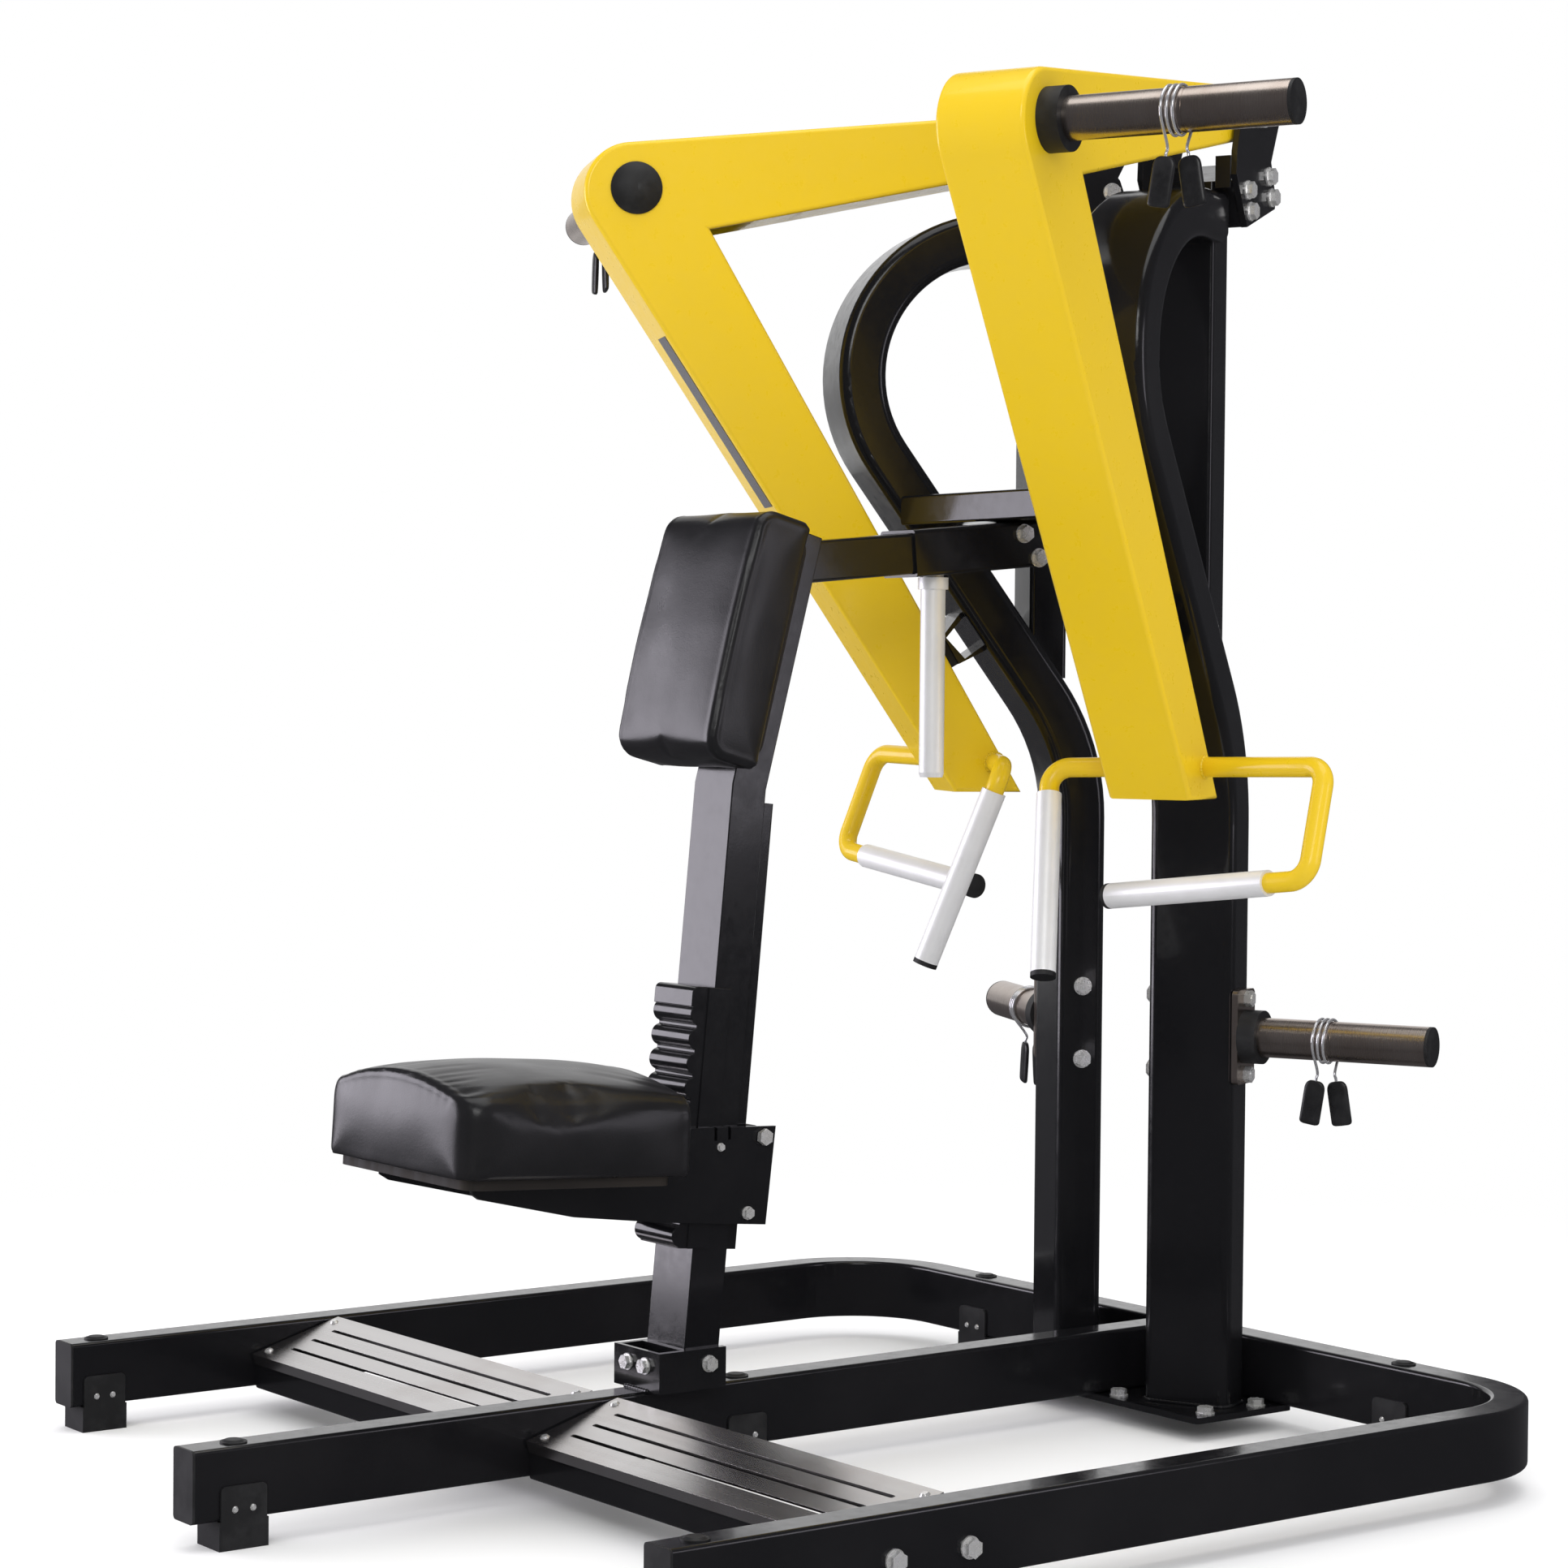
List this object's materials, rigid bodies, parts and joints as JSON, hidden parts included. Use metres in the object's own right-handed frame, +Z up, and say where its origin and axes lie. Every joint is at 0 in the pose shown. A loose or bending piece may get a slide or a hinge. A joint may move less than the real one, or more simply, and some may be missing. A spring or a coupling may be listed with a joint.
{
  "type": "plate-loaded seated row machine",
  "caption": "Plate-loaded seated row machine with splayed swinging arms, weight horns, chest pad, sliding seat and an S-bend steel tower.",
  "frame": {"origin": "on the floor under the middle of the machine, in its plane of symmetry", "axes": "+Z up, +Y from the seat towards the tower, +X to the side of the right-hand arm"},
  "size_m": [1.4076, 1.5232, 1.703],
  "materials": {
    "black_frame": "gloss powder coat",
    "yellow_frame": "satin-gloss powder coat",
    "polished_plate": "polished sheet",
    "horn_chrome": "nickel-chrome plate",
    "grip_aluminium": "satin anodised",
    "spring_wire": "bright plated wire with black vinyl tabs",
    "black_leatherette": "semi-gloss upholstery vinyl over foam",
    "plywood": "raw plywood",
    "black_rubber": "matt",
    "zinc_steel": "bright zinc plate"
  },
  "bodies": {
    "frame": {"base_loop": "black_frame", "centre_rail": "black_frame", "rail_plugs": "black_rubber", "rail_feet": "black_rubber", "foot_rivets": "zinc_steel", "footplate_left": "polished_plate", "footplate_right": "polished_plate", "footplate_crossbars": "black_frame", "footplate_screws": "zinc_steel", "crossbar_bolts": "zinc_steel", "tower_base_plate": "black_frame", "tower_base_bolts": "zinc_steel", "s_tube_left": "black_frame", "s_tube_right": "black_frame", "back_posts": "black_frame", "tower_crossbar": "black_frame", "pivot_saddles": "black_frame", "pivot_cheeks": "black_frame", "cheek_bolts": "zinc_steel", "pivot_shafts": "zinc_steel", "arm_stop_brackets": "black_frame", "arm_stop_rubbers": "black_rubber", "storage_horns": "horn_chrome", "storage_horn_trim": "black_rubber", "storage_horn_bolts": "zinc_steel", "seat_post": "black_frame", "seat_post_bracket": "black_frame", "seat_post_bolts": "zinc_steel", "seat_rack": "black_frame", "seat_guide": "black_frame", "pad_beam": "black_frame", "pad_beam_bolts": "zinc_steel", "chest_pad_board": "plywood", "chest_pad": "black_leatherette", "fixed_grip": "grip_aluminium"},
    "arm_right_body": {"arm_right": "yellow_frame", "arm_horn_right": "horn_chrome", "horn_ring_right": "black_rubber", "arm_caps_right": "black_rubber", "handle_frame_right": "yellow_frame", "grips_right": "grip_aluminium", "arm_bearings_right": "zinc_steel"},
    "arm_left_body": {"arm_left": "yellow_frame", "arm_horn_left": "horn_chrome", "horn_ring_left": "black_rubber", "arm_caps_left": "black_rubber", "handle_frame_left": "yellow_frame", "grips_left": "grip_aluminium", "arm_bearings_left": "zinc_steel"},
    "collar_arm_left_body": {"collar_arm_left": "spring_wire"},
    "collar_arm_right_body": {"collar_arm_right": "spring_wire"},
    "collar_store_left_body": {"collar_store_left": "spring_wire"},
    "collar_store_right_body": {"collar_store_right": "spring_wire"},
    "seat_slider": {"seat_axle": "zinc_steel", "seat_roller": "black_rubber"},
    "seat_frame": {"seat_side_plates": "black_frame", "seat_plate_bolts": "zinc_steel", "seat_board": "plywood", "seat_cushion": "black_leatherette"}
  },
  "joints": [
    {"name": "arm_right_swing", "type": "hinge", "parent": "frame", "child": "arm_right_body", "pos_m": [0.12945, 0.62616, 1.67], "axis": [-0.9135, -0.4067, 0], "range_deg": [0, 42]},
    {"name": "arm_left_swing", "type": "hinge", "parent": "frame", "child": "arm_left_body", "pos_m": [-0.12945, 0.62616, 1.67], "axis": [-0.9135, 0.4067, 0], "range_deg": [0, 42]},
    {"name": "seat_height", "type": "slide", "parent": "frame", "child": "seat_slider", "axis": [0, 0.0941, 0.9956], "range_m": [-0.029, 0.203]},
    {"name": "seat_tilt", "type": "hinge", "parent": "seat_slider", "child": "seat_frame", "pos_m": [0, -0.00591, 0.40509], "axis": [-1, 0, 0], "range_deg": [0, 7]},
    {"name": "collar_arm_right_slide", "type": "slide", "parent": "arm_right_body", "child": "collar_arm_right_body", "axis": [0.9135, 0.4067, 0], "range_m": [-0.115, 0.15]},
    {"name": "collar_store_right_slide", "type": "slide", "parent": "frame", "child": "collar_store_right_body", "axis": [0.9135, 0.4067, 0], "range_m": [-0.06, 0.15]},
    {"name": "collar_arm_left_slide", "type": "slide", "parent": "arm_left_body", "child": "collar_arm_left_body", "axis": [-0.9135, 0.4067, 0], "range_m": [-0.115, 0.15]},
    {"name": "collar_store_left_slide", "type": "slide", "parent": "frame", "child": "collar_store_left_body", "axis": [-0.9135, 0.4067, 0], "range_m": [-0.06, 0.15]}
  ]
}
